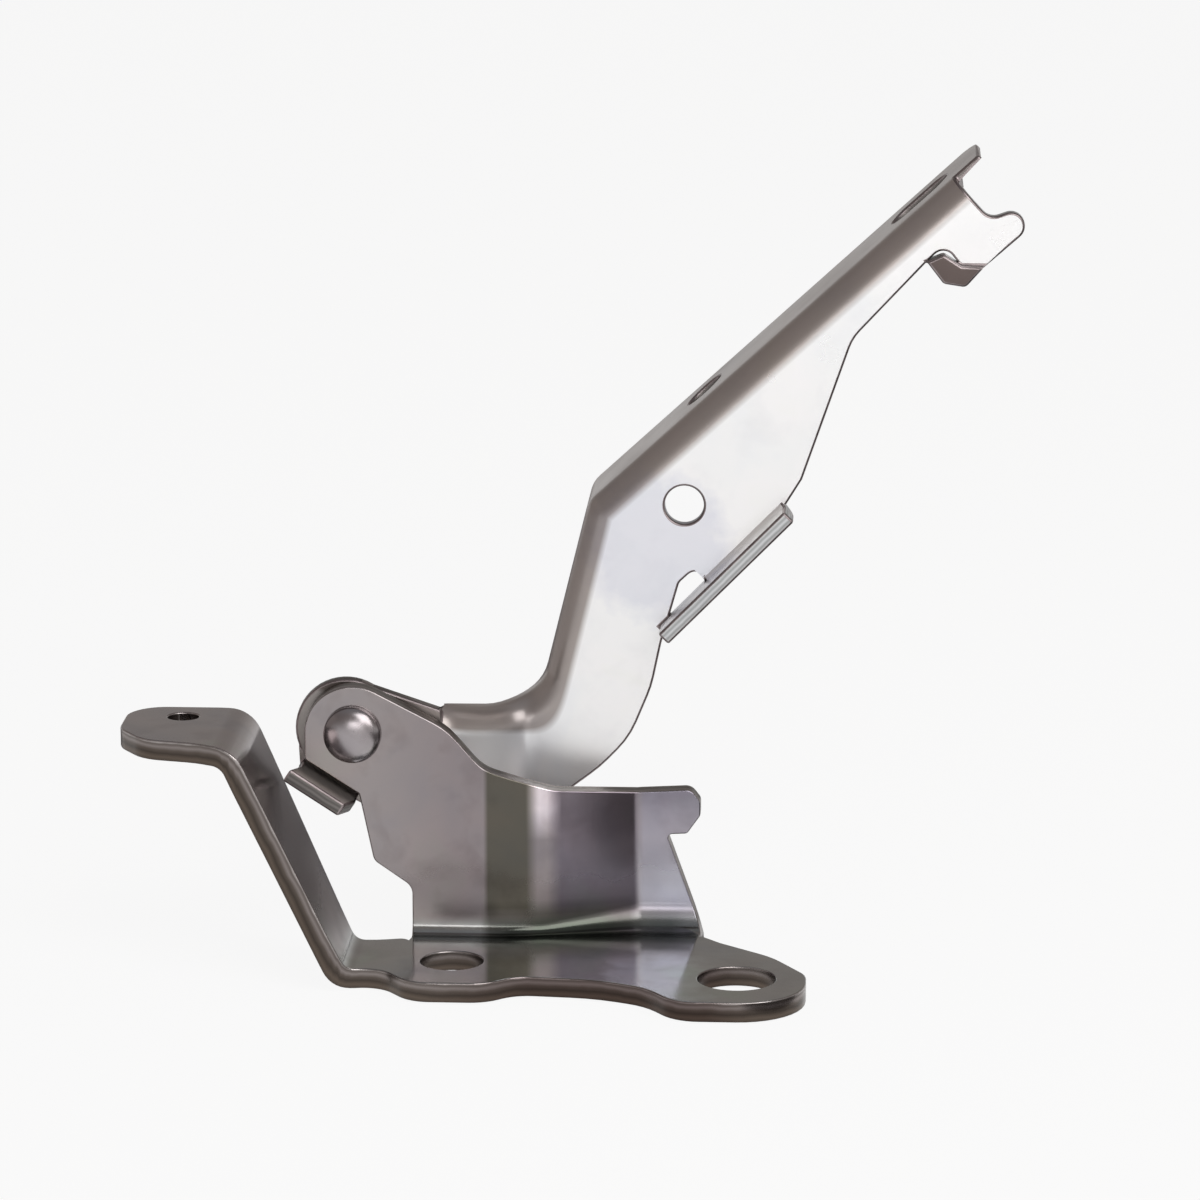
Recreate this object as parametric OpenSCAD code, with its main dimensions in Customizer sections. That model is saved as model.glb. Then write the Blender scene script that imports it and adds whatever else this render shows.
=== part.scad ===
// Bonnet hinge, drawn fully open against its stop.
// Millimetres, +X to the vehicle front, +Y outboard, +Z up.
// Origin: centre of the front body hole on the underside of the foot.

/* [Sheet and fits] */
// sheet thickness of the hinge arm
sheet_t = 3; // [2.8:0.1:3.2]
// plate thickness of the body bracket
plate_t = 4.25; // [4:0.05:4.5]
// radial running clearance of the rivet in its bush
run_gap = 0.05; // [0.03:0.01:0.08]
// side play between the turning faces of the pivot
side_gap = 0.06; // [0.04:0.01:0.1]
// play left at the open stop
stop_gap = 0.2; // [0.15:0.05:0.4]

/* [Pivot] */
// pivot axis above the underside of the foot
pivot_h = 47.25; // [45.25:1:51.25]
// pivot axis behind the front body hole
pivot_back = 81; // [79:1:83]
// face of the pivot ear outboard of the front body hole
ear_out = 28; // [27:1:30]
// rivet shank radius
pin_r = 4; // [3.8:0.1:4.2]
// rivet head radius
head_r = 6; // [5.8:0.1:6.4]
// rivet head height
head_h = 3.6; // [3:0.1:4]
// bush wall
bush_wall = 1; // [0.8:0.1:1.2]
// gap between ear and arm eye, which the bush collar takes up
collar_t = 1; // [0.8:0.1:1.2]
// collar and washer radius
washer_r = 8; // [7.5:0.1:8.5]
// friction washer thickness
friction_t = 1.2; // [1:0.1:1.5]
// tail washer thickness
tail_t = 1.5; // [1.2:0.1:2]
// peened tail height
peen_h = 2.4; // [2:0.1:3]

/* [Body bracket] */
// pivot ear radius
ear_r = 10.1; // [9.9:0.1:10.3]
// set-back of the web behind its jog
web_set = 7; // [6:0.5:7.5]
// inner bend radius of the web under the ear
web_bend = 2.25; // [2:0.25:3]
// inner bend radius of the web at its front end
web_bend_front = 5.5; // [5:0.25:6]
// front body hole radius
front_hole_r = 8; // [7.5:0.25:8.5]
// rear body hole radius
rear_hole_r = 6.5; // [6:0.25:7]
// rear body hole behind the front one
hole_pitch = 59; // [57:0.5:60]
// rear body hole outboard of the front one
hole_shift = 9; // [8:0.5:10]
// top of the rear ear above the pivot axis
wing_rise = 4; // [3:0.5:6]
// slope of the strap
strap_slope = 64.5; // [63:0.5:67]
// inner bend radius of the strap
strap_bend = 3; // [2.5:0.25:4]
// rear ear hole radius
wing_hole_r = 3.25; // [3:0.25:4]

/* [Hinge arm] */
// face of the arm behind the face of the pivot ear
arm_set = 19.5; // [19.5:0.25:21]
// radius of the arm eye
eye_r = 10.7; // [10.5:0.1:11]
// outer bend radius of the bonnet flange
arm_bend = 5.5; // [5:0.25:6]
// depth of the bonnet flange
flange_w = 26; // [25:0.5:28]
// depth of the flange at its root
flange_root = 9; // [8:0.5:10]
// bonnet hole radius
bonnet_hole_r = 4.5; // [4:0.25:5]
// bonnet slot length
slot_len = 15; // [14:0.5:16]
// stay hole radius
stay_hole_r = 4.1; // [3.8:0.1:4.4]
// depth of the stiffening lip
lip_w = 7.5; // [6.5:0.25:7.75]
// depth of the stop tab in front of the arm eye
stop_w = 12; // [10:0.5:12.5]

/* [Hidden] */
$fn = 64;

foot_top = plate_t - pivot_h;
foot_low = -pivot_h;
front_x = pivot_back;
front_y = -ear_out;
rear_x = front_x - hole_pitch;
rear_y = front_y + hole_shift;

// levels of the pivot pack behind the ear face
collar_y = plate_t + side_gap;
eye_y = plate_t + collar_t;
eye_back = eye_y + sheet_t;
friction_y = eye_back + side_gap;
tail_y = friction_y + friction_t;
peen_y = tail_y + tail_t;
bush_r = pin_r + run_gap;
eye_hole_r = bush_r + bush_wall;

// plan of the web jog: x where the bend starts, ends, and where the crease lies
jog = [30, 42, 58.2, 60.4];
jog_slope = web_set / ((jog[1] - jog[0]) / 2 + jog[2] - jog[1] + (jog[3] - jog[2]) / 2);

// joggle of the arm: x where it starts and ends
step = [18, 36];
step_d = arm_set - eye_y;

// side view of the flange: root, valley, knee and tip of its outer face
flange_root_p = [18, 4.5];
flange_valley = [36.6, -1.2];
flange_knee = [47.9, 44.9];
flange_tip = [128.4, 118.7];
valley_r = 10;
knee_r = 6;

function unit(v) = v / norm(v);
function turn(a) = a > 180 ? a - 360 : a < -180 ? a + 360 : a;
function clamp(v) = min(1, max(0, v));

// points of a corner at b rounded with radius r
function corner(a, b, c, r) =
    let(u = unit(a - b), w = unit(c - b))
    let(h = acos(max(-1, min(1, u * w))) / 2)
    let(m = b + unit(u + w) * r / sin(h))
    let(p = b + u * r / tan(h) - m, q = b + w * r / tan(h) - m)
    let(s = atan2(p.y, p.x), d = turn(atan2(q.y, q.x) - s))
    let(n = max(2, ceil(abs(d) / 9)))
    [for (i = [0 : n]) m + r * [cos(s + d * i / n), sin(s + d * i / n)]];

// closed outline from [x, y, corner radius] entries
function rounded(pts) =
    let(n = len(pts))
    [for (i = [0 : n - 1])
        let(a = pts[(i + n - 1) % n], b = pts[i], c = pts[(i + 1) % n])
        each b[2] > 0
            ? corner([a[0], a[1]], [b[0], b[1]], [c[0], c[1]], b[2])
            : [[b[0], b[1]]]];

// faces of a skin over n sections with m points each
function skin_faces(n, m) = concat(
    [[for (j = [0 : m - 1]) j]],
    [for (i = [0 : n - 2], j = [0 : m - 1])
        [i * m + j, (i + 1) * m + j, i * m + (j + 1) % m]],
    [for (i = [0 : n - 2], j = [0 : m - 1])
        [i * m + (j + 1) % m, (i + 1) * m + j, (i + 1) * m + (j + 1) % m]],
    [[for (j = [m - 1 : -1 : 0]) (n - 1) * m + j]]);

module skin(sections) {
    n = len(sections);
    m = len(sections[0]);
    polyhedron([for (s = sections) each s], skin_faces(n, m), convexity = 8);
}

// a side view drawn in x and z, thickened from y0 to y1
module side(y0, y1) {
    translate([0, y1, 0])
        rotate([90, 0, 0])
            linear_extrude(y1 - y0)
                children();
}

// a round bar along y
module bar(r, y0, y1) {
    translate([0, y0, 0])
        rotate([-90, 0, 0])
            cylinder(r = r, h = y1 - y0);
}

// everything is drawn around the pivot, then set over the front body hole
module placed() {
    translate([-pivot_back, ear_out, pivot_h])
        children();
}

// set-back and bend radius of the web along x
function web_y(x) =
    x < jog[0] ? 0
    : x < jog[1] ? jog_slope * (x - jog[0]) * (x - jog[0]) / (jog[1] - jog[0]) / 2
    : x < jog[2] ? jog_slope * ((jog[1] - jog[0]) / 2 + x - jog[1])
    : x < jog[3] ? web_set - jog_slope * (jog[3] - x) * (jog[3] - x) / (jog[3] - jog[2]) / 2
    : web_set;
function web_r(x) =
    web_bend + (web_bend_front - web_bend) * clamp((x - jog[1] + 2) / (jog[3] - jog[1]));

// section of web, bend and the rear of the foot at one x
function web_section(x) =
    let(d = web_y(x), r = web_r(x), n = 8)
    let(my = d - r, mz = foot_top + r)
    concat(
        [[x, -14, foot_top]],
        [for (i = [0 : n]) [x, my + r * sin(90 * i / n), mz - r * cos(90 * i / n)]],
        [[x, d, ear_r + 6], [x, d + plate_t, ear_r + 6]],
        [for (i = [n : -1 : 0])
            [x, my + (r + plate_t) * sin(90 * i / n), mz - (r + plate_t) * cos(90 * i / n)]],
        [[x, -14, foot_low]]);

module web_outline() {
    circle(r = ear_r);
    polygon(rounded([
        [-ear_r, -5.6, 0.8],
        [-ear_r, 0, 0],
        [0, 0, 0],
        [4.7, 8.95, 0],
        [19.6, 1.2, 16],
        [27, -7.4, 9],
        [42, -12.2, 14],
        [59, -13.6, 0],
        [70.4, -13, 2.5],
        [72.4, -15.6, 1.5],
        [72.4, -18.6, 1.5],
        [69.6, -22.6, 1],
        [65.4, -22.8, 0.8],
        [73.2, -44.5, 0],
        [73.4, foot_low - 1, 0],
        [12.2, foot_low - 1, 0],
        [12.2, -33, 3],
        [4.2, -27.4, 2.5],
        [1.2, -12.9, 0.8]]));
}

module foot_plan() {
    polygon(rounded([
        [-47, 5.4, 8],
        [-47, -12.6, 9],
        [-41, -21.6, 9],
        [-30, -24.2, 14],
        [-23.5, -27.8, 10],
        [-2, -28.2, 10],
        [6.5, -23.4, 7],
        [14.5, rear_y - 15.4, 8],
        [30, rear_y - 15.4, 9],
        [36, -29, 8],
        [52, -30.4, 30],
        [62.5, -35, 14],
        [69, front_y - 16.4, 9],
        [front_x + 14.2, front_y - 16.4, 14],
        [front_x + 14.2, -25, 8],
        [88, -13, 20],
        [77, -3.6, 8],
        [73.3, 0.6, 0],
        [64, 0.4, 0],
        [54, -9, 0],
        [12.2, -9, 0],
        [12.2, -3.4, 2],
        [2, -6, 14],
        [-20, 4.5, 20],
        [-28, 5.4, 0]]));
}

// foot, strap and rear ear seen from the side
module strap_profile() {
    k = tan(strap_slope / 2) * plate_t;
    x1 = -21.6;
    x2 = x1 + (wing_rise - foot_top) / tan(strap_slope);
    polygon(rounded([
        [-60, wing_rise, 0],
        [x1, wing_rise, strap_bend + plate_t],
        [x2, foot_top, strap_bend],
        [120, foot_top, 0],
        [120, foot_low, 0],
        [x2 - k, foot_low, strap_bend + plate_t],
        [x1 - k, wing_rise - plate_t, strap_bend],
        [-60, wing_rise - plate_t, 0]]));
}

module body_bracket() {
    xs = concat(
        [-14],
        [for (i = [0 : 8]) jog[0] + (jog[1] - jog[0]) * i / 8],
        [for (i = [1 : 4]) jog[1] + (jog[2] - jog[1]) * i / 4],
        [for (i = [1 : 4]) jog[2] + (jog[3] - jog[2]) * i / 4],
        [80]);
    color([0.72, 0.72, 0.7])
        placed()
            difference() {
                union() {
                    intersection() {
                        skin([for (i = [len(xs) - 1 : -1 : 0]) web_section(xs[i])]);
                        side(-20, 30)
                            web_outline();
                    }
                    intersection() {
                        side(-60, 10)
                            strap_profile();
                        translate([0, 0, foot_low - 1])
                            linear_extrude(pivot_h + wing_rise + 2)
                                foot_plan();
                    }
                }
                bar(pin_r, -1, plate_t + 1);
                translate([front_x, front_y, foot_low - 1])
                    cylinder(r = front_hole_r, h = plate_t + 2);
                translate([rear_x, rear_y, foot_low - 1])
                    cylinder(r = rear_hole_r, h = plate_t + 2);
                translate([-35, -2.5, wing_rise - plate_t - 1])
                    cylinder(r = wing_hole_r, h = plate_t + 2);
            }
}

// face of the arm along x, and its thickness measured along y
function arm_u(x) = clamp((x - step[0]) / (step[1] - step[0]));
function arm_y(x) = eye_y + step_d * arm_u(x) * arm_u(x) * (3 - 2 * arm_u(x));
function arm_slope(x) = step_d * 6 * arm_u(x) * (1 - arm_u(x)) / (step[1] - step[0]);
function arm_t(x) = sheet_t * sqrt(1 + arm_slope(x) * arm_slope(x));

// one ruling of the arm from the flange at p, with path direction a and ruling direction b
function arm_section(p, a, b, rear, long) =
    let(e = [cos(b), sin(b)], k = 1 / (e * [sin(a), -cos(a)]), n = 7, m = 8)
    let(far = long - arm_bend * k)
    let(at = function (s, y) [p.x + e.x * s, y, p.y + e.y * s])
    let(xs = function (s) p.x + e.x * s)
    concat(
        [at(0, rear)],
        [for (i = [0 : n])
            let(s = k * arm_bend * (1 - cos(90 * i / n)))
            at(s, arm_y(xs(s)) + arm_bend * (1 - sin(90 * i / n)))],
        [for (i = [1 : m])
            let(s = k * arm_bend + far * i / m)
            at(s, arm_y(xs(s)))],
        [for (i = [m : -1 : 1])
            let(s = k * arm_bend + far * i / m)
            at(s, arm_y(xs(s)) + arm_t(xs(s)))],
        [for (i = [n : -1 : 0])
            let(s = k * (arm_bend - (arm_bend - sheet_t) * cos(90 * i / n)))
            at(s, arm_y(xs(s)) + arm_bend - (arm_bend - arm_t(xs(s))) * sin(90 * i / n))],
        [at(k * sheet_t, rear)]);

// rulings along the flange, from its root to its tip
function arm_sections() =
    let(v = flange_valley - flange_root_p, w = flange_knee - flange_valley, z = flange_tip - flange_knee)
    let(av = atan2(v.y, v.x), aw = atan2(w.y, w.x), az = atan2(z.y, z.x))
    let(b = -32)
    let(arc1 = corner(flange_root_p, flange_valley, flange_knee, valley_r))
    let(arc2 = corner(flange_valley, flange_knee, flange_tip, knee_r))
    let(n1 = len(arc1) - 1, n2 = len(arc2) - 1, n0 = 5, low = arc1[n1], high = arc2[0])
    concat(
        [for (x = [-14, step[0] - 1]) arm_section([x, 30], av, -90, eye_y + flange_root, 60)],
        [for (i = [0 : n0 - 1])
            let(p = flange_root_p + (arc1[0] - flange_root_p) * i / n0)
            arm_section(p, av, -90, arm_y(p.x) + flange_root, 40)],
        [for (i = [0 : n1])
            let(p = arc1[i], f = i / n1)
            arm_section(p, av + (aw - av) * f, -90 + (b + 90) * f, arm_y(p.x) + flange_root, 40)],
        [for (i = [1 : 5])
            let(f = i / 6, p = low + (high - low) * f)
            arm_section(p, aw, b, arm_set + flange_root + (flange_w - flange_root) * f * f * (3 - 2 * f), 48)],
        [for (i = [0 : n2])
            arm_section(arc2[i], aw + (az - aw) * i / n2, b, arm_set + flange_w, 48)],
        [arm_section(flange_tip, az, b, arm_set + flange_w, 48)]);

// side view of the arm: its eye, then the plate below and in front of its flange
module arm_outline() {
    translate([-1.8, -0.3])
        circle(r = eye_r);
    polygon(rounded([
        [18.3, 40, 0],
        [18.3, 3.9, 0],
        [2.6, 9.2, 0],
        [-8, 2, 0],
        [-12, -1.4, 0],
        [-11.6, -8.6, 0],
        [0.2, -16, 0],
        [9, -20.6, 0],
        [38, -21.5, 8],
        [50.7, -11.8, 30],
        [57, -5.2, 20],
        [61.6, 6, 24],
        [63.6, 15.6, 0],
        [67.3, 28.6, 2],
        [70.9, 32, 2.6],
        [74.4, 28.6, 0],
        [76, 32.2, 0],
        [89.6, 45.6, 2],
        [92.9, 51, 0],
        [103.2, 81, 10],
        [118.6, 97.6, 1],
        [121.8, 100.7, 2.4],
        [127.2, 93.9, 1.8],
        [139.4, 104.4, 2.9],
        [136.3, 108.2, 2.9],
        [131, 106.3, 3],
        [124.6, 113.2, 0],
        [132, 121, 0],
        [110, 135, 0]]));
}

// a strip bent toward -y along x, with its leg in +z sunk into the plate
module bent_strip(long, leg, depth, r) {
    sunk = 0.15;
    rotate([90, 0, 90])
        linear_extrude(long)
            polygon(rounded([
                [-depth, 0, 0],
                [sheet_t - sunk, 0, r],
                [sheet_t - sunk, leg, 0],
                [sunk, leg, 0],
                [sunk, sheet_t, r - sheet_t],
                [-depth, sheet_t, 0]]));
}

module hinge_arm() {
    flange_a = atan2(flange_tip.y - flange_knee.y, flange_tip.x - flange_knee.x);
    color([0.8, 0.8, 0.8])
        placed()
            difference() {
                union() {
                    intersection() {
                        skin(arm_sections());
                        side(0, 60)
                            arm_outline();
                    }
                    stop_tab();
                    lip();
                    toe();
                }
                bar(eye_hole_r, eye_y - 1, eye_back + 1);
                translate([68.3, arm_set - 1, 45.3])
                    bar(stay_hole_r, 0, sheet_t + 2);
                translate([flange_knee.x, arm_set + flange_w / 2 + 3, flange_knee.y])
                    rotate([0, -flange_a, 0])
                        flange_holes();
                tip_trim();
                root_trim();
            }
}

// the tab that meets the web edge when the hinge is fully open
module stop_tab() {
    a = 33.3;
    long = 13.9 - stop_gap;
    lean = 2.2;
    rotate([0, a, 0])
        translate([-5.2, eye_y, -14.8])
            intersection() {
                translate([-lean, 0, 0])
                    bent_strip(long + lean + 1, 7, stop_w, 4.5);
                translate([0, 0, -1])
                    linear_extrude(9)
                        polygon([
                            [0, sheet_t + 1],
                            [0, -eye_y],
                            [-lean, -stop_w - 1],
                            [long - lean, -stop_w - 1],
                            [long, -eye_y],
                            [long, sheet_t + 1]]);
            }
}

// thickened toe under the hooked end
module toe() {
    side(arm_set - 1.6, arm_set + sheet_t - 0.4)
        polygon(rounded([
            [118.2, 97.4, 0],
            [121.6, 99, 0],
            [125.4, 96.6, 0],
            [130, 96.4, 0],
            [126.3, 92.2, 1.4],
            [121.7, 92.9, 1.4]]));
}

// the flange runs out into the plate at its root
module root_trim() {
    translate([0, 0, -6])
        linear_extrude(18)
            polygon([
                [16, eye_back + 0.4],
                [17.5, eye_back + 0.4],
                [31, arm_y(31) + flange_root + 0.2],
                [31, arm_y(31) + flange_root + 8],
                [16, arm_y(31) + flange_root + 8]]);
}

// stiffening lip under the stay hole
module lip() {
    a = 45.5;
    difference() {
        translate([74.7, arm_set, 26.6])
            rotate([0, -a, 0])
                translate([-13.4, 0, 0])
                    bent_strip(37.2, 6.5, lip_w, 4.5);
        side(arm_set - 1, arm_set + sheet_t + 1)
            translate([74.7, 26.6])
                rotate(a)
                    polygon([[-20, sheet_t], [-20, 12], [0.5, 12], [0.5, sheet_t]]);
    }
}

// bonnet holes, drawn along the flange from its knee
module flange_holes() {
    translate([32.6, 0, -10])
        cylinder(r = bonnet_hole_r, h = 20);
    translate([93.3, 0, 0])
        for (s = [-1, 1])
            translate([s * (slot_len / 2 - bonnet_hole_r), 0, -10])
                cylinder(r = bonnet_hole_r, h = 20);
    translate([93.3 - slot_len / 2 + bonnet_hole_r, -bonnet_hole_r, -10])
        cube([slot_len - 2 * bonnet_hole_r, 2 * bonnet_hole_r, 20]);
    translate([norm(flange_tip - flange_knee) - 6, flange_w / 2 - 9, -10])
        difference() {
            cube([9, 9, 20]);
            translate([0, 0, -1])
                cylinder(r = 6.2, h = 22);
        }
}

// the plate stops short of the flange tip, and the tip is rounded
module tip_trim() {
    side(arm_set - 1, arm_set + arm_bend)
        polygon([[124.7, 113.1], [122, 116], [121, 125], [150, 125], [150, 113.1]]);
}

module pivot_rivet() {
    color([0.66, 0.66, 0.66])
        placed()
            rotate([90, 0, 0])
                rotate_extrude()
                    polygon(concat(
                        [[0, head_h]],
                        [for (i = [1 : 10])
                            [head_r * sin(9 * i), head_h * (0.28 + 0.72 * cos(9 * i))]],
                        [[head_r, 0], [pin_r, 0], [pin_r, -peen_y], [pin_r + 1.4, -peen_y],
                         [pin_r + 1.2, -peen_y - peen_h * 0.6], [pin_r, -peen_y - peen_h], [0, -peen_y - peen_h]]));
}

module pivot_bush() {
    color([0.75, 0.6, 0.3])
        placed()
            difference() {
                union() {
                    bar(washer_r, collar_y, eye_y);
                    bar(eye_hole_r, collar_y, eye_back);
                }
                bar(bush_r, 0, eye_back + 1);
            }
}

module friction_washer() {
    color([0.2, 0.2, 0.2])
        placed()
            difference() {
                bar(washer_r, friction_y, tail_y);
                bar(pin_r, friction_y - 1, tail_y + 1);
            }
}

module tail_washer() {
    color([0.7, 0.7, 0.7])
        placed()
            difference() {
                bar(washer_r + 0.5, tail_y, peen_y);
                bar(pin_r, tail_y - 1, peen_y + 1);
            }
}

body_bracket();
hinge_arm();
pivot_rivet();
pivot_bush();
friction_washer();
tail_washer();
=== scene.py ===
import math

import bmesh
import bpy
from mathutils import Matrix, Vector
from mathutils.bvhtree import BVHTree
from mathutils.kdtree import KDTree


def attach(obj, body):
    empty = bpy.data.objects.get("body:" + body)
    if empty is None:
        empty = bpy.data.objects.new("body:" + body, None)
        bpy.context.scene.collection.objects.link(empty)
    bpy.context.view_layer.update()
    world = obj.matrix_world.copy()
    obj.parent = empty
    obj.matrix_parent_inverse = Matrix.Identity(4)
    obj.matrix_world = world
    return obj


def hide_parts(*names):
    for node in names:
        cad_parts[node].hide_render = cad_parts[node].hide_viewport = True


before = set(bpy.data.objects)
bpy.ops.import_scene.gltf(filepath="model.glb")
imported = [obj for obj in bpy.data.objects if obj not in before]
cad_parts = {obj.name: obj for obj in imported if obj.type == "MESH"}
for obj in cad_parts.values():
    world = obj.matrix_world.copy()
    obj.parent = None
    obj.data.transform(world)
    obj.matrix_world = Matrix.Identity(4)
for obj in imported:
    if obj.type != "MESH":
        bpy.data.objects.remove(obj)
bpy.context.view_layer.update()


# Body bracket: a stamping of 4.25 mm steel with foot, web, pivot ear, sloped strap and rear ear.
# It is blanked, jogged and folded in a press, then zinc plated, so its sheared edges stay rougher
# and darker than its faces. Two screws through the foot hold it to the vehicle body.
def merged_form(node):
    seam_gap = 2e-6
    sliver = 2e-5
    form = bmesh.new()
    form.from_mesh(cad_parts[node].data)
    bmesh.ops.remove_doubles(form, verts=form.verts, dist=seam_gap)
    bmesh.ops.dissolve_degenerate(form, edges=form.edges, dist=sliver)
    form.normal_update()
    return form


def mark_sheared(form, tree, sheet):
    """Marks as sheared each face with more metal behind it than the sheet is thick."""
    under_skin = 1e-5
    toward_front = -0.3
    sheared = form.faces.layers.float.new("sheared")
    front = form.faces.layers.float.new("front")
    for face in form.faces:
        start = face.calc_center_median() - face.normal * under_skin
        _, _, _, depth = tree.ray_cast(start, -face.normal)
        face[sheared] = 1.0 if depth and depth > sheet else 0.0
        face[front] = 1.0 if face.normal.y < toward_front else 0.0
        face.smooth = True


def settle_sheared(form):
    """Lets each face follow the larger faces that lie level with it."""
    passes = 4
    level = 0.94
    sheared = form.faces.layers.float["sheared"]
    for _ in range(passes):
        for face in form.faces:
            near = [
                other
                for side in face.edges
                for other in side.link_faces
                if other is not face and other.normal.dot(face.normal) > level
            ]
            for_cut = sum(other.calc_area() * (2.0 * other[sheared] - 1.0) for other in near)
            for_cut += face.calc_area() * (2.0 * face[sheared] - 1.0)
            face[sheared] = 1.0 if for_cut > 0 else 0.0


def mark_across(form):
    """Marks the corners on the sheet's upper or front side, so that edge tones run across it."""
    shown_side = Vector((0.3, -0.7, 0.64))
    sheared = form.faces.layers.float["sheared"]
    across = form.loops.layers.float.new("across")
    for face in form.faces:
        for corner in face.loops:
            facing = Vector()
            for other in corner.vert.link_faces:
                if not other[sheared]:
                    facing += other.normal
            corner[across] = 1.0 if facing.dot(shown_side) > 0 else 0.0


def mark_roundings(form, edge):
    """Marks the sharp edges whose faces are wide enough to take the rounding."""
    sharp = math.radians(38)
    room = 1.6 * edge
    weight = form.edges.layers.float.new("bevel_weight_edge")
    for side in form.edges:
        if side.calc_face_angle(0.0) > sharp:
            narrow = min(face.calc_area() for face in side.link_faces) / side.calc_length()
            side[weight] = 1.0 if narrow > room else 0.0


def round_edges(piece, edge):
    rounding = piece.modifiers.new("rounded edges", "BEVEL")
    rounding.width = edge
    rounding.segments = 2
    rounding.limit_method = "WEIGHT"
    rounding.use_clamp_overlap = False
    rounding.loop_slide = False
    rounding.material = len(piece.data.materials) - 1
    evaluated = piece.evaluated_get(bpy.context.evaluated_depsgraph_get())
    piece.data = bpy.data.meshes.new_from_object(evaluated)
    piece.modifiers.remove(rounding)


def mend_roundings(mesh, tree, corners, edge):
    """Puts points that left the solid back on it, and folds in the thin spikes of large faces."""
    loose = 0.5 * edge
    stray = 1.4 * edge
    large_face = 8
    thin_angle = 0.3
    for vertex in mesh.vertices:
        spot, _, _, gap = tree.find_nearest(vertex.co)
        if gap > loose:
            vertex.co = spot
    for face in mesh.polygons:
        ring = [mesh.vertices[index] for index in face.vertices]
        if len(ring) < large_face:
            continue
        for before, spike, after in zip(ring[-1:] + ring[:-1], ring, ring[1:] + ring[:1]):
            back = before.co - spike.co
            forth = after.co - spike.co
            if min(back.length, forth.length) < edge or back.angle(forth) > thin_angle:
                continue
            _, _, gap = corners.find(spike.co)
            if gap > stray:
                spike.co = min(before.co, after.co, key=lambda end: (end - spike.co).length)
    mesh.update()


def weigh_normals(mesh):
    """Shades each corner by the faces that run on smoothly from its own, the larger ones most."""
    smooth_turn = 0.65
    own_share = 1e-12
    around = [[] for _ in mesh.vertices]
    for face in mesh.polygons:
        for corner in face.vertices:
            around[corner].append((face.normal.copy(), face.area))
    shading = []
    for face in mesh.polygons:
        for corner in face.vertices:
            total = face.normal * own_share
            for normal, area in around[corner]:
                if normal.dot(face.normal) > smooth_turn:
                    total += normal * area
            shading.append(total.normalized())
    mesh.normals_split_custom_set(shading)


thickest_sheet = 0.0052


def pressed_copy(node, name, edge, finishes, sheet=thickest_sheet):
    """Dresses a node: edge is the rounding, and the last finish is the one on the rounded edges."""
    flat = math.radians(0.05)
    form = merged_form(node)
    tree = BVHTree.FromBMesh(form)
    mark_sheared(form, tree, sheet)
    settle_sheared(form)
    bmesh.ops.dissolve_limit(form, angle_limit=flat, verts=form.verts, edges=form.edges)
    mark_across(form)
    mark_roundings(form, edge)
    corners = KDTree(len(form.verts))
    for index, vertex in enumerate(form.verts):
        corners.insert(vertex.co, index)
    corners.balance()
    mesh = bpy.data.meshes.new(name)
    form.to_mesh(mesh)
    form.free()
    for finish in finishes:
        mesh.materials.append(finish)
    piece = bpy.data.objects.new(name, mesh)
    bpy.context.scene.collection.objects.link(piece)
    round_edges(piece, edge)
    mend_roundings(piece.data, tree, corners, edge)
    weigh_normals(piece.data)
    return piece


def add(tree, kind, inputs=None, **settings):
    made = tree.nodes.new(kind)
    for key, value in settings.items():
        setattr(made, key, value)
    for key, value in (inputs or {}).items():
        if isinstance(value, bpy.types.NodeSocket):
            tree.links.new(value, made.inputs[key])
        else:
            made.inputs[key].default_value = value
    return made


def maths(tree, operation, *values):
    return add(tree, "ShaderNodeMath", dict(enumerate(values)), operation=operation).outputs[0]


def product(tree, *factors):
    total = factors[0]
    for factor in factors[1:]:
        total = maths(tree, "MULTIPLY", total, factor)
    return total


def attribute(tree, name):
    return add(tree, "ShaderNodeAttribute", attribute_name=name).outputs["Fac"]


def ramp(tree, value, stops):
    middle = 0.5
    made = add(tree, "ShaderNodeValToRGB", {"Fac": value})
    points = made.color_ramp.elements
    while len(points) < len(stops):
        points.new(middle)
    for point, (place, colour) in zip(points, stops):
        point.position = place
        point.color = (*colour, 1.0)
    return made.outputs["Color"]


def grey(tree, value, low, high, to_low=0.0, to_high=1.0):
    made = add(
        tree,
        "ShaderNodeMapRange",
        {"Value": value, "From Min": low, "From Max": high, "To Min": to_low, "To Max": to_high},
    )
    return made.outputs["Result"]


def ramp_value(tree, value, points):
    total = points[0][1]
    for (low, before), (high, after) in zip(points, points[1:]):
        total = maths(tree, "ADD", total, grey(tree, value, low, high, 0.0, after - before))
    return total


def zone(tree, value, *limits):
    """Each limit is the place where the zone starts and the place where it is full."""
    return product(tree, *(grey(tree, value, start, full) for start, full in limits))


mix_share = 0
mix_first = 6
mix_second = 7
mix_colour = 2


def blended(tree, share, first, second, kind="MIX"):
    sockets = {mix_share: share, mix_first: first, mix_second: second}
    made = add(tree, "ShaderNodeMix", sockets, data_type="RGBA", blend_type=kind)
    return made.outputs[mix_colour]


def toned(tree, colour, tint, *masks):
    return blended(tree, product(tree, *masks), colour, (*tint, 1.0), "MULTIPLY")


cloud_softness = 0.55


def cloud(tree, place, size, detail=4.0, twist=0.0, stretch=(1, 1, 1), shift=(0, 0, 0)):
    turned = add(tree, "ShaderNodeMapping", {"Vector": place, "Scale": stretch, "Location": shift})
    made = add(
        tree,
        "ShaderNodeTexNoise",
        {
            "Vector": turned.outputs["Vector"],
            "Scale": 1.0 / size,
            "Detail": detail,
            "Roughness": cloud_softness,
            "Distortion": twist,
        },
    )
    return made.outputs["Fac"]


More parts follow.
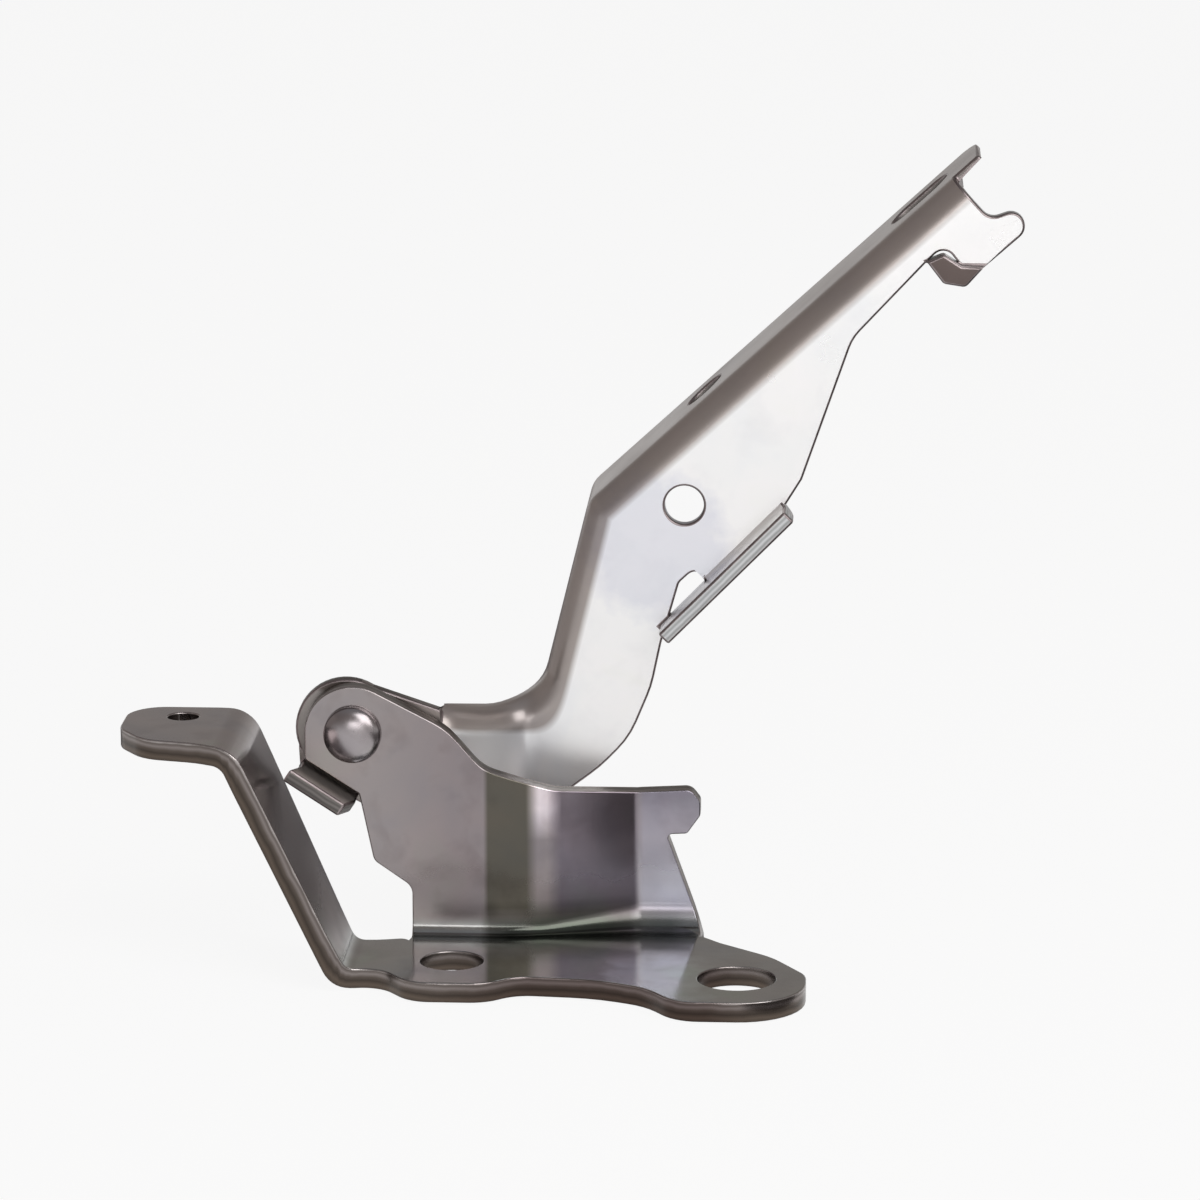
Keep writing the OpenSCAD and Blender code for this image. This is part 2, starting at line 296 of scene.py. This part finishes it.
def new_finish(name):
    finish = bpy.data.materials.new(name)
    finish.use_nodes = True
    tree = finish.node_tree
    place = add(tree, "ShaderNodeTexCoord").outputs["Object"]
    return finish, tree, tree.nodes["Principled BSDF"], place


film_patch = 0.024
smudge_patch = 0.010
smudge_limit = (0.50, 0.80)
smudge_rough = 0.04
satin_patch = 0.014
satin_limit = (0.3, 0.75)
shear_wave = 0.006
shear_sway = 0.22
shear_rough = 0.14
drawn_line = 0.0016
drawn_stretch = (1.0, 1.0, 0.07)
drawn_depth = 0.00002
drawn_strength = 0.10
zinc_grain = 0.0005
grain_depth = 0.00003
grain_strength = 0.03


def zinc_plate(name, tints, smudge, roughness, shift, torn, shade=None, wear=None, metal=1.0):
    finish, tree, shader, place = new_finish(name)
    film_cloud = cloud(tree, place, film_patch, detail=3.0, twist=0.4, shift=shift)
    smudge_cloud = cloud(tree, place, smudge_patch, detail=3.0, twist=0.3, shift=shift)
    dull = grey(tree, smudge_cloud, *smudge_limit)
    film = toned(tree, ramp(tree, film_cloud, tints), smudge, dull)
    wave = cloud(tree, place, shear_wave, detail=2.0, shift=shift)
    sway = maths(tree, "MULTIPLY_ADD", wave, shear_sway, -shear_sway / 2)
    edge = ramp(tree, maths(tree, "ADD", attribute(tree, "across"), sway), torn)
    cut = attribute(tree, "sheared")
    colour = blended(tree, cut, film, edge)
    if shade:
        colour = shade(tree, place, colour)
    tree.links.new(colour, shader.inputs["Base Color"])
    shader.inputs["Metallic"].default_value = metal
    satin_cloud = cloud(tree, place, satin_patch, twist=0.4, shift=shift)
    satin = grey(tree, satin_cloud, *satin_limit, *roughness)
    faces = maths(tree, "ADD", satin, product(tree, dull, smudge_rough))
    total = maths(tree, "ADD", faces, product(tree, cut, shear_rough))
    if wear:
        total = maths(tree, "ADD", total, wear(tree, place))
    tree.links.new(total, shader.inputs["Roughness"])
    drawn = cloud(tree, place, drawn_line, detail=2.0, stretch=drawn_stretch, shift=shift)
    relief = {"Strength": drawn_strength, "Distance": drawn_depth, "Height": drawn}
    lines = add(tree, "ShaderNodeBump", relief).outputs["Normal"]
    grain = cloud(tree, place, zinc_grain, detail=2.0)
    relief = {"Strength": grain_strength, "Distance": grain_depth, "Height": grain, "Normal": lines}
    pits = add(tree, "ShaderNodeBump", relief).outputs["Normal"]
    tree.links.new(pits, shader.inputs["Normal"])
    return finish


# Painted light on the web, placed by the object's own coordinates: the web is darkened right of its
# left end, the bend gets a painted dark olive reflection, the slant a painted violet reflection
# that darkens toward the bottom, the right end a painted bluish highlight that darkens toward the
# top, and a painted glint lights the top of the bend. The root tint paints the web's dark
# reflection onto the foot just in front of it.
web_bottom = (0.006, 0.010)
flat_left = (-0.078, -0.060)
flat_painted_shade = (0.84, 0.82, 0.85)
bend_left = (-0.0538, -0.0528)
bend_right = (-0.0425, -0.0448)
bend_painted_dark_reflection = (0.42, 0.44, 0.36)
slant_left = (-0.0405, -0.0375)
slant_right = (-0.0215, -0.0225)
slant_painted_reflection = (0.86, 0.85, 0.94)
slant_low = (0.036, 0.016)
slant_low_painted_shade = (0.66, 0.66, 0.70)
end_left = (-0.0225, -0.0205)
end_painted_highlight = (1.35, 1.45, 1.60)
end_top = (0.024, 0.033)
end_top_painted_shade = (0.70, 0.70, 0.74)
glint_left = (-0.0450, -0.0420)
glint_right = (-0.0375, -0.0405)
glint_low = (0.0245, 0.0315)
painted_glint_tint = (3.0, 3.05, 3.1)
root_left = (-0.0545, -0.0525)
root_right = (-0.0205, -0.0235)
root_front = (0.016, 0.020)
root_top = (0.0115, 0.0085)
root_painted_dark_reflection = (0.52, 0.52, 0.50)


def web_painted_reflections(tree, axes, colour):
    x, y, z = axes["X"], axes["Y"], axes["Z"]
    front = attribute(tree, "front")
    web = product(tree, front, zone(tree, z, web_bottom))
    colour = toned(tree, colour, flat_painted_shade, web, zone(tree, x, flat_left))
    colour = toned(tree, colour, bend_painted_dark_reflection, web, zone(tree, x, bend_left, bend_right))
    slant = product(tree, web, zone(tree, x, slant_left, slant_right))
    colour = toned(tree, colour, slant_painted_reflection, slant)
    colour = toned(tree, colour, slant_low_painted_shade, slant, zone(tree, z, slant_low))
    end = product(tree, web, zone(tree, x, end_left))
    colour = toned(tree, colour, end_painted_highlight, end)
    colour = toned(tree, colour, end_top_painted_shade, end, zone(tree, z, end_top))
    glint = product(tree, web, zone(tree, x, glint_left, glint_right), zone(tree, z, glint_low))
    colour = toned(tree, colour, painted_glint_tint, glint)
    root = product(tree, front, zone(tree, z, root_top), zone(tree, x, root_left, root_right))
    return toned(tree, colour, root_painted_dark_reflection, root, zone(tree, y, root_front))


# Painted light on the foot, placed by the object's own coordinates: painted shade on part of its
# cut edges, a lighter greenish painted reflection tone over its top, painted dark reflections of
# the web in its middle and, darker still, at its back, and a painted bright reflection of the web's
# end in front of it. A noise cloud makes the borders of these patches ragged.
foot_top = (0.008, 0.0055)
rim_left = (-0.064, -0.042)
rim_right = (0.004, -0.006)
rim_painted_shade = (0.62, 0.56, 0.56)
foot_painted_reflection_tone = (1.22, 1.38, 1.36)
foot_patch = 0.007
foot_ragged = 0.012
middle_left = (-0.049, -0.043)
middle_right = (-0.017, -0.022)
middle_painted_dark_reflection = (0.74, 0.76, 0.75)
back_right = (-0.002, -0.009)
back_front = (0.018, 0.027)
back_painted_dark_reflection = (0.54, 0.56, 0.53)
bright_left = (-0.0215, -0.0175)
bright_right = (0.001, -0.005)
bright_back = (0.022, 0.015)
bright_painted_reflection = (1.35, 1.46, 1.50)


def foot_painted_reflections(tree, place, axes, colour):
    cut = attribute(tree, "sheared")
    uncut = (1.0, 0.0)
    low = zone(tree, axes["Z"], foot_top)
    colour = toned(tree, colour, rim_painted_shade, low, cut, zone(tree, axes["X"], rim_left, rim_right))
    foot = product(tree, low, zone(tree, cut, uncut))
    colour = toned(tree, colour, foot_painted_reflection_tone, foot)
    ragged = cloud(tree, place, foot_patch, detail=3.0)
    along = maths(tree, "MULTIPLY_ADD", ragged, foot_ragged, axes["X"])
    depth = maths(tree, "MULTIPLY_ADD", ragged, foot_ragged, axes["Y"])
    inner = product(tree, foot, zone(tree, along, middle_left))
    colour = toned(tree, colour, middle_painted_dark_reflection, inner, zone(tree, along, middle_right))
    back = product(tree, inner, zone(tree, along, back_right), zone(tree, depth, back_front))
    colour = toned(tree, colour, back_painted_dark_reflection, back)
    bright = product(tree, foot, zone(tree, along, bright_left, bright_right))
    return toned(tree, colour, bright_painted_reflection, bright, zone(tree, depth, bright_back))


# Paints the web's and the foot's reflections, shade and glint into the bracket's colour.
def bracket_painted_light(tree, place, colour):
    axes = add(tree, "ShaderNodeSeparateXYZ", {"Vector": place}).outputs
    return foot_painted_reflections(tree, place, axes, web_painted_reflections(tree, axes, colour))


foot_wear = [(0.0045, -0.07), (0.0065, 0.12), (0.014, 0.12), (0.026, 0.0)]


def bracket_wear(tree, place):
    height = add(tree, "ShaderNodeSeparateXYZ", {"Vector": place}).outputs["Z"]
    return ramp_value(tree, height, foot_wear)


# Tones across a cut edge, from its lower or back side to its upper or front side: shear streaks,
# and a painted highlight as the bright last tone along the upper or front rim.
shear_bands_rim_highlight = [
    (0.02, (0.075, 0.06, 0.05)),
    (0.20, (0.12, 0.094, 0.076)),
    (0.40, (0.062, 0.05, 0.042)),
    (0.58, (0.11, 0.09, 0.078)),
    (0.74, (0.24, 0.21, 0.20)),
    (0.88, (0.13, 0.11, 0.10)),
    (1.0, (0.50, 0.465, 0.455)),
]
bracket_zinc = zinc_plate(
    "bracket zinc",
    tints=[
        (0.30, (0.28, 0.26, 0.275)),
        (0.45, (0.315, 0.285, 0.285)),
        (0.58, (0.335, 0.295, 0.29)),
        (0.72, (0.32, 0.305, 0.28)),
    ],
    smudge=(0.80, 0.78, 0.78),
    roughness=(0.15, 0.22),
    shift=(0.013, 0.031, 0.007),
    torn=shear_bands_rim_highlight,
    shade=bracket_painted_light,
    wear=bracket_wear,
)
bracket_edge = 0.00032
bracket = pressed_copy("body_bracket", "bracket_stamping", bracket_edge, [bracket_zinc])
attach(bracket, "bracket")
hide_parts("body_bracket")


# Pivot bush: a turned bronze sleeve with a collar, pressed into the arm's eye.
# Its collar keeps the arm a millimetre behind the bracket's ear, and its bore runs on the rivet.
bush_edge = 0.00015
bronze_patch = 0.003
bronze_grain = 0.001
bronze_tones = [(0.35, (0.42, 0.29, 0.14)), (0.65, (0.62, 0.47, 0.26))]
grain_limit = (0.3, 0.7)
bronze_rough = (0.28, 0.48)


def bush_bronze():
    finish, tree, shader, place = new_finish("bush bronze")
    tone = ramp(tree, cloud(tree, place, bronze_patch, twist=0.5), bronze_tones)
    tree.links.new(tone, shader.inputs["Base Color"])
    shader.inputs["Metallic"].default_value = 1.0
    grain = cloud(tree, place, bronze_grain, detail=3.0)
    rough = grey(tree, grain, *grain_limit, *bronze_rough)
    tree.links.new(rough, shader.inputs["Roughness"])
    return finish


bush = pressed_copy("pivot_bush", "bush_sleeve", bush_edge, [bush_bronze()])
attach(bush, "arm")
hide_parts("pivot_bush")


# Hinge arm: a stamping of 3 mm steel, zinc plated. Its eye sits behind the bracket's ear; the plate
# steps back from it, rises, and carries the folded bonnet flange, a stiffening lip, a stay hole
# and the stop tab that meets the web's edge when the bonnet is open.
# Painted light on the arm, placed by the object's own coordinates: a painted bluish shade on a disc
# round the stay hole, painted shade that turns the toe dark and darkens the eye and the stop tab
# behind the ear, and a painted brown reflection over the flange and its folds.
pad_centre = Vector((-0.0185, 0.049, 0.0835))
pad_patch = 0.004
pad_ragged = 0.008
pad_limit = (0.0165, 0.0215)
pad_share = 0.9
stay_hole_painted_shade = (0.83, 0.84, 0.90)
toe_depth = (0.0472, 0.0464)
toe_left = (0.033, 0.035)
toe_painted_shade = (0.12, 0.092, 0.085, 1.0)
eye_right = (-0.066, -0.074)
eye_painted_shade = (0.36, 0.33, 0.31)
knee = Vector((-0.0331, 0.0, 0.09215))
heel = Vector((-0.0444, 0.0, 0.04605))
flange_out = Vector((-0.6758, 0.0, 0.7372))
riser_out = Vector((-0.9713, 0.0, 0.2381))
root_out = Vector((0.38, 0.0, 1.24))
heel_round = 0.018
fold_limit = (-0.0060, -0.0046)
fold_painted_reflection = (0.42, 0.375, 0.355)


def above_line(tree, place, point, outward):
    step = add(tree, "ShaderNodeVectorMath", {0: place, 1: point}, operation="SUBTRACT")
    pair = {0: step.outputs["Vector"], 1: outward}
    return add(tree, "ShaderNodeVectorMath", pair, operation="DOT_PRODUCT").outputs["Value"]


def arm_painted_light(tree, place, colour):
    away = add(tree, "ShaderNodeVectorMath", {0: place, 1: pad_centre}, operation="DISTANCE")
    ragged = cloud(tree, place, pad_patch, detail=3.0)
    reach = maths(tree, "MULTIPLY_ADD", ragged, pad_ragged, away.outputs["Value"])
    colour = toned(tree, colour, stay_hole_painted_shade, grey(tree, reach, *pad_limit, pad_share, 0.0))
    axes = add(tree, "ShaderNodeSeparateXYZ", {"Vector": place}).outputs
    toe = product(tree, zone(tree, axes["Y"], toe_depth), zone(tree, axes["X"], toe_left))
    colour = blended(tree, toe, colour, toe_painted_shade)
    colour = toned(tree, colour, eye_painted_shade, zone(tree, axes["X"], eye_right))
    flange = above_line(tree, place, knee, flange_out)
    riser = above_line(tree, place, heel, riser_out)
    root = above_line(tree, place, heel, root_out)
    corner = maths(tree, "MAXIMUM", flange, riser)
    depth = maths(tree, "SMOOTH_MIN", corner, root, heel_round)
    return toned(tree, colour, fold_painted_reflection, zone(tree, depth, fold_limit))


# The arm's rounded edges take this darker finish: painted shade that draws a dark outline along
# them.
outline_patch = 0.005
outline_shade_tones = [(0.35, (0.20, 0.17, 0.17)), (0.65, (0.32, 0.275, 0.275))]
outline_rough = 0.34


def painted_dark_outline():
    finish, tree, shader, place = new_finish("painted dark outline")
    tone = ramp(tree, cloud(tree, place, outline_patch, detail=3.0), outline_shade_tones)
    tree.links.new(tone, shader.inputs["Base Color"])
    shader.inputs["Metallic"].default_value = 1.0
    shader.inputs["Roughness"].default_value = outline_rough
    return finish


arm_zinc = zinc_plate(
    "arm zinc",
    tints=[
        (0.30, (0.86, 0.87, 0.89)),
        (0.46, (0.91, 0.91, 0.91)),
        (0.60, (0.93, 0.92, 0.92)),
        (0.74, (0.91, 0.91, 0.88)),
    ],
    smudge=(0.93, 0.93, 0.94),
    roughness=(0.27, 0.32),
    shift=(0.051, 0.017, 0.023),
    torn=[
        (0.02, (0.20, 0.18, 0.17)),
        (0.16, (0.58, 0.58, 0.58)),
        (0.32, (0.34, 0.35, 0.35)),
        (0.48, (0.66, 0.67, 0.68)),
        (0.64, (0.36, 0.37, 0.37)),
        (0.82, (0.62, 0.63, 0.63)),
        (1.0, (0.24, 0.22, 0.21)),
    ],
    shade=arm_painted_light,
    metal=0.7,
)
arm_edge = 0.0005
arm = pressed_copy("hinge_arm", "arm_stamping", arm_edge, [arm_zinc, painted_dark_outline()])
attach(arm, "arm")
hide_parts("hinge_arm")


# Friction washer: a moulded ring between the back of the arm's eye and the tail washer.
# It is clamped by the rivet and gives the hinge its drag.
washer_edge = 0.0002
polymer_patch = 0.002
polymer_grain = 0.0008
polymer_tones = [(0.35, (0.018, 0.018, 0.019)), (0.68, (0.05, 0.05, 0.05))]
polymer_rough = (0.45, 0.62)


def washer_polymer():
    finish, tree, shader, place = new_finish("washer polymer")
    tone = ramp(tree, cloud(tree, place, polymer_patch), polymer_tones)
    tree.links.new(tone, shader.inputs["Base Color"])
    grain = cloud(tree, place, polymer_grain, detail=3.0)
    rough = grey(tree, grain, *grain_limit, *polymer_rough)
    tree.links.new(rough, shader.inputs["Roughness"])
    return finish


drag_ring = pressed_copy("friction_washer", "drag_ring", washer_edge, [washer_polymer()])
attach(drag_ring, "bracket")
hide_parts("friction_washer")


# Tail washer: a ring blanked from steel sheet and zinc plated.
# It lies behind the friction washer, under the clinched tail of the rivet.
washer_zinc = zinc_plate(
    "washer zinc",
    tints=[(0.32, (0.48, 0.49, 0.51)), (0.5, (0.57, 0.56, 0.55)), (0.7, (0.58, 0.57, 0.53))],
    smudge=(0.72, 0.70, 0.69),
    roughness=(0.24, 0.42),
    shift=(0.003, 0.011, 0.029),
    torn=shear_bands_rim_highlight,
)
washer_sheet = 0.003
tail_ring = pressed_copy("tail_washer", "tail_ring", washer_edge, [washer_zinc], washer_sheet)
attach(tail_ring, "bracket")
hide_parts("tail_washer")


# Pivot rivet: cold-headed steel with a domed head in front of the ear, zinc plated.
# It is clinched behind the washers. Nothing on it is sheared, so its sheet limit is out of reach.
rivet_zinc = zinc_plate(
    "rivet zinc",
    tints=[(0.32, (0.31, 0.285, 0.295)), (0.5, (0.37, 0.34, 0.35)), (0.7, (0.41, 0.38, 0.37))],
    smudge=(0.78, 0.75, 0.74),
    roughness=(0.22, 0.30),
    shift=(0.021, 0.003, 0.017),
    torn=shear_bands_rim_highlight,
)
rivet_edge = 0.0003
never_sheared = 1.0
rivet = pressed_copy("pivot_rivet", "rivet_pin", rivet_edge, [rivet_zinc], never_sheared)
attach(rivet, "bracket")
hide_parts("pivot_rivet")


# Studio: a wide pale table top, two soft lamps and a dim room. Dark cards lie on the table, and a
# brown one stands at the left. The cards show only in reflections, where they draw the bends of
# the bright metal.
paper_share = 0.90
paper_colour = (0.86, 0.86, 0.86, 1.0)
white = (1.0, 1.0, 1.0, 1.0)


def stage_finish(name):
    finish = bpy.data.materials.new(name)
    finish.use_nodes = True
    finish.node_tree.nodes.clear()
    return finish, finish.node_tree


def pale_paper():
    finish, tree = stage_finish("pale paper")
    ray = add(tree, "ShaderNodeLightPath").outputs
    seen = maths(tree, "MAXIMUM", ray["Is Camera Ray"], ray["Is Glossy Ray"])
    seen = maths(tree, "MAXIMUM", seen, ray["Is Transmission Ray"])
    share = product(tree, seen, paper_share)
    matt = add(tree, "ShaderNodeBsdfDiffuse", {"Color": paper_colour}).outputs["BSDF"]
    glow = add(tree, "ShaderNodeEmission", {"Color": white, "Strength": 1.0}).outputs["Emission"]
    mix = add(tree, "ShaderNodeMixShader", {0: share, 1: matt, 2: glow}).outputs["Shader"]
    add(tree, "ShaderNodeOutputMaterial", {"Surface": mix})
    return finish


def flat_card(name, corners, finish):
    form = bmesh.new()
    form.faces.new([form.verts.new(corner) for corner in corners])
    mesh = bpy.data.meshes.new(name)
    form.to_mesh(mesh)
    form.free()
    card = bpy.data.objects.new(name, mesh)
    bpy.context.scene.collection.objects.link(card)
    card.data.materials.append(finish)
    return card


paper_half = 3.0
paper_z = -0.0005
flat_card(
    "paper",
    [
        (-paper_half, -paper_half, paper_z),
        (paper_half, -paper_half, paper_z),
        (paper_half, paper_half, paper_z),
        (-paper_half, paper_half, paper_z),
    ],
    pale_paper(),
)


def card_tone(name, colour):
    finish, tree = stage_finish(name)
    tone = add(tree, "ShaderNodeEmission", {"Color": (*colour, 1.0), "Strength": 1.0})
    add(tree, "ShaderNodeOutputMaterial", {"Surface": tone.outputs["Emission"]})
    return finish


def only_in_metal(card):
    card.visible_camera = False
    card.visible_diffuse = False
    card.visible_shadow = False
    card.visible_transmission = False


dark_felt = card_tone("dark felt", (0.14, 0.13, 0.13))
brown_felt = card_tone("brown felt", (0.34, 0.305, 0.29))
card_z = 0.0003
front_centre = (-0.03, 0.035)
rear_centre = (-0.09, 0.03)


def fan_card(name, centre, angles, reach):
    """Angles are in degrees from straight in front of the hinge, toward its right."""
    x, y = centre
    first, second = (math.radians(angle) for angle in angles)
    near, far = reach
    corners = [
        (x + away * math.sin(turn), y - away * math.cos(turn), card_z)
        for away, turn in ((near, first), (near, second), (far, second), (far, first))
    ]
    only_in_metal(flat_card(name, corners, dark_felt))


fan_card("right card", front_centre, angles=(28, 70), reach=(0.07, 1.4))
fan_card("far right card", front_centre, angles=(70, 112), reach=(0.02, 1.4))
fan_card("rear card", rear_centre, angles=(150, 230), reach=(0.06, 1.2))

left_x = -0.9
left_front = -0.55
left_back = 0.7
left_top = 0.7
left_card = flat_card(
    "left card",
    [
        (left_x, left_front, 0.0),
        (left_x, left_back, 0.0),
        (left_x, left_back, left_top),
        (left_x, left_front, left_top),
    ],
    brown_felt,
)
only_in_metal(left_card)


def soft_lamp(name, place, target, size, watts):
    lamp = bpy.data.lights.new(name, "AREA")
    lamp.shape = "RECTANGLE"
    lamp.size, lamp.size_y = size
    lamp.energy = watts
    holder = bpy.data.objects.new(name, lamp)
    holder.location = place
    aim = Vector(target) - Vector(place)
    holder.rotation_euler = aim.to_track_quat("-Z", "Y").to_euler()
    holder.visible_camera = False
    bpy.context.scene.collection.objects.link(holder)


soft_lamp("key lamp", (0.55, -0.80, 0.80), target=(0.0, 0.03, 0.07), size=(0.9, 0.9), watts=8.0)
soft_lamp("front lamp", (0.0, -1.3, 0.33), target=(0.0, 0.03, 0.05), size=(0.6, 0.3), watts=1.8)

room_tones = [
    (0.0, (0.78, 0.78, 0.78)),
    (0.10, (0.58, 0.57, 0.56)),
    (0.30, (0.30, 0.275, 0.26)),
    (0.62, (0.24, 0.21, 0.20)),
    (1.0, (0.30, 0.30, 0.31)),
]
room = bpy.data.worlds.new("room")
room.use_nodes = True
bpy.context.scene.world = room
sky = room.node_tree
sky.nodes.clear()
way = add(sky, "ShaderNodeTexCoord").outputs["Generated"]
height = add(sky, "ShaderNodeSeparateXYZ", {"Vector": way}).outputs["Z"]
walls = {"Color": ramp(sky, height, room_tones), "Strength": 1.0}
dim = add(sky, "ShaderNodeBackground", walls).outputs["Background"]
add(sky, "ShaderNodeOutputWorld", {"Surface": dim})


# Camera: a long lens a metre in front of the hinge, a little above it and to its right.
# It is turned down and slightly to the left, as the hinge is seen in the photograph.
camera_place = (0.02323, -0.97523, 0.31405)
camera_tilt = math.radians(76.7)
camera_turn = math.radians(3.0)
camera = bpy.data.cameras.new("camera")
camera.sensor_width = 36.0
camera.lens = 150.0
camera.clip_start = 0.05
camera.clip_end = 20.0
stand = bpy.data.objects.new("camera", camera)
stand.location = camera_place
stand.rotation_euler = (camera_tilt, 0.0, camera_turn)
bpy.context.scene.collection.objects.link(stand)
bpy.context.scene.camera = stand
bpy.context.scene.view_settings.view_transform = "Standard"
